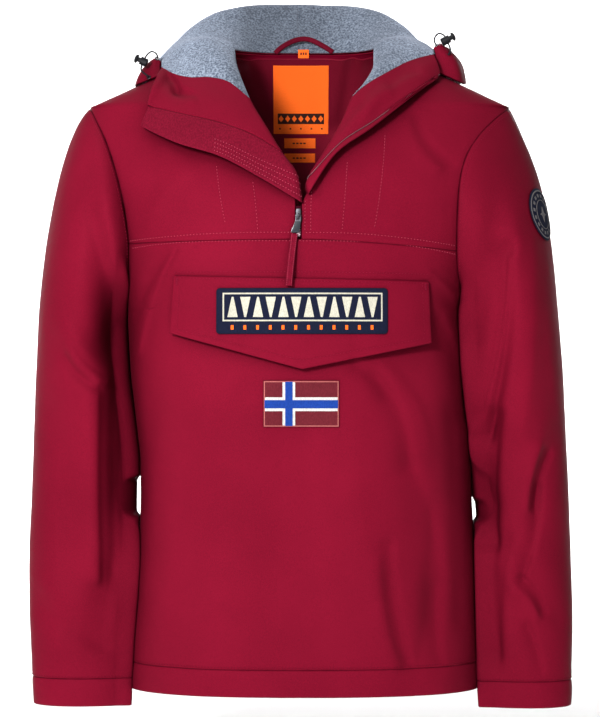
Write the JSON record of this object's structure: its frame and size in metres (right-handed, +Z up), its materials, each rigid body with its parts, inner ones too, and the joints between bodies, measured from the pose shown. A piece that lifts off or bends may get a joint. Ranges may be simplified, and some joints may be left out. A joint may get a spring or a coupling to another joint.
{
  "type": "anorak pullover",
  "caption": "Hooded half-zip pullover anorak in its worn, empty form, with a fleece-lined hood folded back, turned-out collar, chest pocket flap, patches and cord locks.",
  "frame": {"origin": "middle between the high shoulder points at the neck, where the wearer's shoulders carry the garment", "axes": "+Z up, front faces -Y, the viewer's left is -X"},
  "size_m": [0.6155, 0.3621, 0.8098],
  "materials": {
    "back": "matt woven shell cloth",
    "back_lining": "smooth lining cloth",
    "channel_left": "matt woven shell cloth",
    "channel_right": "matt woven shell cloth",
    "cord_left": "braided or woven polyester",
    "cord_right": "braided or woven polyester",
    "cuff_left": "matt woven shell cloth",
    "cuff_right": "matt woven shell cloth",
    "facing_left": "matt woven shell cloth",
    "facing_right": "matt woven shell cloth",
    "flag_patch": "woven patch",
    "front_lower": "matt woven shell cloth",
    "front_yoke_left": "matt woven shell cloth",
    "front_yoke_right": "matt woven shell cloth",
    "hanger_loop": "smooth lining cloth",
    "hem_band": "matt woven shell cloth",
    "hood_lining_left": "heathered fleece",
    "hood_lining_right": "heathered fleece",
    "hood_shell": "matt woven shell cloth",
    "info_label_lower": "printed label cloth",
    "info_label_upper": "printed label cloth",
    "lock_barrel_left": "moulded",
    "lock_barrel_right": "moulded",
    "lock_plunger_left": "moulded",
    "lock_plunger_right": "moulded",
    "name_patch": "woven patch",
    "neck_label": "printed label cloth",
    "placket": "matt woven shell cloth",
    "pocket_flap": "matt woven shell cloth",
    "pull_strap": "matt woven shell cloth",
    "pull_tab": "dark plated",
    "size_label": "printed label cloth",
    "sleeve_left": "matt woven shell cloth",
    "sleeve_patch": "woven patch",
    "sleeve_right": "matt woven shell cloth",
    "slider": "dark plated",
    "zip_closed": "braided or woven polyester",
    "zip_tape": "matt woven shell cloth"
  },
  "bodies": {
    "garment": {"back": "back", "back_lining": "back_lining", "channel_left": "channel_left", "channel_right": "channel_right", "cord_left": "cord_left", "cord_right": "cord_right", "cuff_left": "cuff_left", "cuff_right": "cuff_right", "facing_left": "facing_left", "facing_right": "facing_right", "flag_patch": "flag_patch", "front_lower": "front_lower", "front_yoke_left": "front_yoke_left", "front_yoke_right": "front_yoke_right", "hanger_loop": "hanger_loop", "hem_band": "hem_band", "hood_lining_left": "hood_lining_left", "hood_lining_right": "hood_lining_right", "hood_shell": "hood_shell", "info_label_lower": "info_label_lower", "info_label_upper": "info_label_upper", "lock_barrel_left": "lock_barrel_left", "lock_barrel_right": "lock_barrel_right", "name_patch": "name_patch", "neck_label": "neck_label", "placket": "placket", "pocket_flap": "pocket_flap", "size_label": "size_label", "sleeve_left": "sleeve_left", "sleeve_patch": "sleeve_patch", "sleeve_right": "sleeve_right", "slider": "slider", "zip_closed": "zip_closed", "zip_tape": "zip_tape"},
    "zip_pull": {"pull_tab": "pull_tab", "pull_strap": "pull_strap"},
    "button_left": {"lock_plunger_left": "lock_plunger_left"},
    "button_right": {"lock_plunger_right": "lock_plunger_right"}
  },
  "joints": [
    {"name": "zip_pull_hinge", "type": "hinge", "parent": "garment", "child": "zip_pull", "pos_m": [-0.004, -0.13672, -0.1994], "axis": [-1, 0, 0], "range_deg": [0, 115]},
    {"name": "lock_button_left", "type": "slide", "parent": "garment", "child": "button_left", "axis": [0.9172, 0, -0.3985], "range_m": [0, 0.0022], "stiffness_N_per_m": 400, "springref_m": -0.003},
    {"name": "lock_button_right", "type": "slide", "parent": "garment", "child": "button_right", "axis": [-0.882, 0, -0.4713], "range_m": [0, 0.0022], "stiffness_N_per_m": 400, "springref_m": -0.003}
  ]
}
